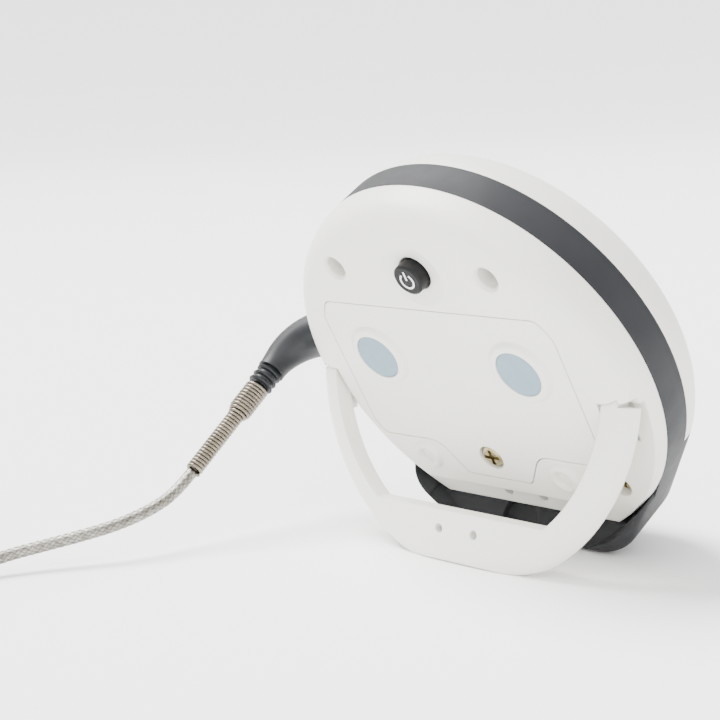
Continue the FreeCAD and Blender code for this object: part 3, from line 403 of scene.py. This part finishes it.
# ---------------------------------------------------------------- power button
# A black silicone rubber cap with the usual power sign printed on it in white ink, a touch proud.
def printed(name, outlines, y, thickness, towards_back):
    """Flat printed shapes, in the case's axes, as thin raised solids. Each outline is a list of (x, z)."""
    sign = -1 if towards_back else 1
    spots, faces = [], []
    for outline in outlines:
        base = len(spots)
        count = len(outline)
        spots += [standing(x, y, z) for x, z in outline]
        spots += [standing(x, y + sign * thickness, z) for x, z in outline]
        faces += [(base + i, base + (i + 1) % count, base + count + (i + 1) % count, base + count + i)
                  for i in range(count)]
        faces += [tuple(range(base, base + count)), tuple(range(base + count, base + 2 * count))]
    mesh = bpy.data.meshes.new(name)
    mesh.from_pydata(spots, [], faces)
    mesh.validate()
    piece = bpy.data.objects.new(name, mesh)
    bpy.context.scene.collection.objects.link(piece)
    bpy.context.view_layer.objects.active = piece
    bpy.ops.object.select_all(action="DESELECT")
    piece.select_set(True)
    bpy.ops.object.mode_set(mode="EDIT")
    bpy.ops.mesh.select_all(action="SELECT")
    bpy.ops.mesh.normals_make_consistent(inside=False)
    bpy.ops.object.mode_set(mode="OBJECT")
    return piece


def arc_band(cx, cz, inner, outer, start, end, steps=40):
    """A band of a ring between two angles, in degrees."""
    angles = [math.radians(start + (end - start) * i / steps) for i in range(steps + 1)]
    return ([(cx + outer * math.cos(a), cz + outer * math.sin(a)) for a in angles]
            + [(cx + inner * math.cos(a), cz + inner * math.sin(a)) for a in reversed(angles)])


def bar(x0, x1, z0, z1):
    """A rectangle."""
    return [(x0, z0), (x1, z0), (x1, z1), (x0, z1)]


BUTTON_FACE = -1.7
BUTTON_HEIGHT = 26.2
BUTTON_ACROSS = 1.3
INK = 0.04                 # thickness of the printing
POWER_RING = (1.3, 1.7)    # inner and outer radius
POWER_OPENING = (125, 415)  # the ring's ends, in degrees
POWER_STROKE = 0.2         # half the width of the upright stroke

silicone, tree, shader, place = finish_material("black_silicone_rubber", "#0E0F10", Roughness=0.55,
                                              Specular_IOR_Level=0.22)
dust = noise(tree, place, 1300.0, 3.0)
roughen(tree, shader, dust, 0.42, 0.62)
relief(tree, shader, dust, 0.2, 0.00003, edge_radius=0.00025)
for name in ("power_button", "down_key", "alarm_key", "up_key"):
    wear(nodes[name], silicone)

white_ink, tree, shader, place = finish_material("white_printing_ink", "#E8E8E6", Roughness=0.55)
ink = noise(tree, place, 2500.0, 3.0)
roughen(tree, shader, ink, 0.45, 0.7)
relief(tree, shader, ink, 0.2, 0.00002)

power_sign = printed("power_sign", [
    arc_band(BUTTON_ACROSS, BUTTON_HEIGHT - 0.1, *POWER_RING, *POWER_OPENING),
    bar(BUTTON_ACROSS - POWER_STROKE, BUTTON_ACROSS + POWER_STROKE,
        BUTTON_HEIGHT + 0.1, BUTTON_HEIGHT + 2.0),
], BUTTON_FACE, INK, True)
wear(power_sign, white_ink)
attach(power_sign, "power_button")

# ---------------------------------------------------------------- key signs
# The three rubber keys carry a down arrow, a ring and an up arrow in the same ink.
KEY_FACE = 25.9
KEY_HEIGHT = -26.0
KEY_PITCH = 13.0
SMALL_RING = (0.7, 1.3)    # inner and outer radius of the alarm sign and of the degree sign
FULL_TURN = (0, 359)
for name, x, outline in (
    ("down", KEY_PITCH, [(-1.5, 0.8), (1.5, 0.8), (0, -1.3)]),
    ("alarm", 0.0, arc_band(0, 0, *SMALL_RING, *FULL_TURN)),
    ("up", -KEY_PITCH, [(-1.5, -0.9), (1.5, -0.9), (0, 1.2)]),
):
    sign = printed(name + "_sign", [[(x + a, KEY_HEIGHT + b) for a, b in outline]], KEY_FACE, INK, False)
    wear(sign, white_ink)
    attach(sign, name + "_key")

# ---------------------------------------------------------------- magnets
# Two disc magnets are held in rings of the battery cover. Each is faced with a pale blue-grey plated
# film, cloudy where it has been wiped.
film, tree, shader, place = finish_material("wiped_zinc_plating", "#A9B9C1", Metallic=0.35, Roughness=0.38)
cloud = noise(tree, place, 420.0, 5.0, 0.65)
roughen(tree, shader, cloud, 0.3, 0.5, 0.3, 0.7)
mottle(tree, shader, cloud, "#647D8E", "#869DAA")
relief(tree, shader, cloud, 0.1, 0.00005)
for name in ("magnet_left", "magnet_right"):
    wear(nodes[name], film)

# ---------------------------------------------------------------- screws
# Steel screws with a yellow passivated zinc finish, which runs from straw to a faint green.
zinc, tree, shader, place = finish_material("yellow_passivated_zinc", "#C9B67C",
                                            Metallic=1.0, Roughness=0.32)
bloom = noise(tree, place, 700.0, 3.0)
mottle(tree, shader, bloom, "#75673F", "#C6BB98")
roughen(tree, shader, bloom, 0.22, 0.45)
for name in ("case_screws", "cover_screw"):
    wear(nodes[name], zinc)

# ---------------------------------------------------------------- display
# A clear acrylic window with a liquid-crystal panel behind it in a black holder. The panel is grey-green,
# with dark segments of a two-figure reading and a degree ring.
acrylic, tree, shader, place = finish_material("clear_acrylic_sheet", "#FFFFFF", Roughness=0.05, IOR=1.49,
                                               Transmission_Weight=1.0)
smear = noise(tree, place, 120.0, 4.0)
roughen(tree, shader, smear, 0.02, 0.1)
wear(nodes["display_window"], acrylic)

crystal, tree, shader, place = finish_material("reflective_lcd_glass", "#A7B0A0", Roughness=0.28)
fleck = noise(tree, place, 4000.0, 2.0)
mottle(tree, shader, fleck, "#9FA898", "#B2BAAB")
roughen(tree, shader, fleck, 0.22, 0.36)
wear(nodes["lcd_panel"], crystal)

segment_ink, tree, shader, place = finish_material("lcd_segment_dye", "#24282A", Roughness=0.3)
fleck = noise(tree, place, 4000.0, 2.0)
roughen(tree, shader, fleck, 0.25, 0.4)
FIGURE_H = 12.0
FIGURE_W = 6.6
FIGURES_AT = (6.5, -2.5)   # middles of the tens and the units
STROKE = 1.5
SEGMENT_GAP = 0.25
DISPLAY_HEIGHT = 6.5
DEGREE_AT = (-9.6, 11.3)
GLASS_FACE = 20.62
DYE = 0.05                 # thickness of the segments


def figure(x, lit):
    """A seven-segment figure. x is its middle, and its left is towards +x as the display is read."""
    half, mid, top = FIGURE_W / 2, DISPLAY_HEIGHT, DISPLAY_HEIGHT + FIGURE_H / 2
    low, gap = DISPLAY_HEIGHT - FIGURE_H / 2, SEGMENT_GAP
    places = {
        "top": bar(x - half + gap, x + half - gap, top - STROKE, top),
        "middle": bar(x - half + gap, x + half - gap, mid - STROKE / 2, mid + STROKE / 2),
        "bottom": bar(x - half + gap, x + half - gap, low, low + STROKE),
        "upper_left": bar(x + half - STROKE, x + half, mid + STROKE, top - STROKE - gap),
        "upper_right": bar(x - half, x - half + STROKE, mid + STROKE, top - STROKE - gap),
        "lower_left": bar(x + half - STROKE, x + half, low + STROKE + gap, mid - STROKE),
        "lower_right": bar(x - half, x - half + STROKE, low + STROKE + gap, mid - STROKE),
    }
    return [places[name] for name in lit]


six = ("top", "middle", "bottom", "upper_left", "lower_left", "lower_right")
three = ("top", "middle", "bottom", "upper_right", "lower_right")
tens, units = FIGURES_AT
reading = figure(tens, six) + figure(units, three) + [arc_band(*DEGREE_AT, *SMALL_RING, *FULL_TURN)]
segments = printed("lcd_segments", reading, GLASS_FACE, DYE, False)
wear(segments, segment_ink)
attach(segments, "case")

# ---------------------------------------------------------------- inside pieces
# Black moulded holders, a green glass-fibre board and wrapped cells. Little of them shows in use.
for name, code, members in (
    ("black_moulded_parts", "#141414",
     ("lcd_holder", "power_switch", "key_switches", "board_chips", "sounder", "probe_jack", "cover_seal",
      "lcd_contact_strips")),
    ("green_glass_fibre_board", "#1E5A34", ("main_board",)),
    ("printed_cell_wrap", "#26303C", ("upper_cell", "lower_cell")),
    ("nickel_plated_contacts", "#B8B6AE", ("contact_springs", "contact_plates")),
):
    made, tree, shader, place = finish_material(name, code, Roughness=0.45)
    if name == "nickel_plated_contacts":
        shader.inputs["Metallic"].default_value = 1.0
    grain = noise(tree, place, 900.0, 3.0)
    roughen(tree, shader, grain, 0.35, 0.55)
    relief(tree, shader, grain, 0.1, 0.00003)
    for member in members:
        wear(nodes[member], made)

# ---------------------------------------------------------------- table and light
# A plain white table top that sweeps up behind into a backdrop, in flat daylight from a high window on
# the viewer's left, with the light of the room behind the viewer.
SWEEP_AT = 1.6
SWEEP_RADIUS = 0.8
SWEEP_TOP = 3.0
SWEEP_HALF = 4.0
SWEEP_STEPS = 16

table_top, tree, shader, place = finish_material("plain_white_table", "#FFFFFF", Roughness=0.95)
shader.inputs["Specular IOR Level"].default_value = 0.0
away = Vector((ahead.x, ahead.y, 0)).normalized()
aside = Vector((away.y, -away.x, 0))
profile = [(-SWEEP_HALF, 0.0)]
for i in range(SWEEP_STEPS + 1):
    turn = math.radians(90 * i / SWEEP_STEPS)
    profile.append((SWEEP_AT + SWEEP_RADIUS * math.sin(turn), SWEEP_RADIUS * (1 - math.cos(turn))))
profile.append((SWEEP_AT + SWEEP_RADIUS, SWEEP_TOP))
spots = [away * far + aside * side + Vector((0, 0, rise))
         for far, rise in profile for side in (-SWEEP_HALF, SWEEP_HALF)]
faces = [(2 * i, 2 * i + 1, 2 * i + 3, 2 * i + 2) for i in range(len(profile) - 1)]
sweep = bpy.data.meshes.new("table")
sweep.from_pydata(spots, [], faces)
for face in sweep.polygons:
    face.use_smooth = True
table = bpy.data.objects.new("table", sweep)
bpy.context.scene.collection.objects.link(table)
wear(table, table_top)

sky = bpy.data.worlds.new("sky")
sky.use_nodes = True
sky.node_tree.nodes["Background"].inputs["Color"].default_value = (1.0, 0.992, 0.975, 1.0)
sky.node_tree.nodes["Background"].inputs["Strength"].default_value = 1.2
bpy.context.scene.world = sky

for name, towards, strength, spread in (
    ("window", Vector((0.55, 0.15, 1.0)), 8.5, 35),
    ("room", Vector((-0.6, 0.9, 0.8)), 2.6, 60),
):
    light = bpy.data.lights.new(name, "SUN")
    light.energy = strength
    light.angle = math.radians(spread)
    lamp = bpy.data.objects.new(name, light)
    lamp.rotation_euler = towards.to_track_quat("Z", "Y").to_euler()
    bpy.context.scene.collection.objects.link(lamp)
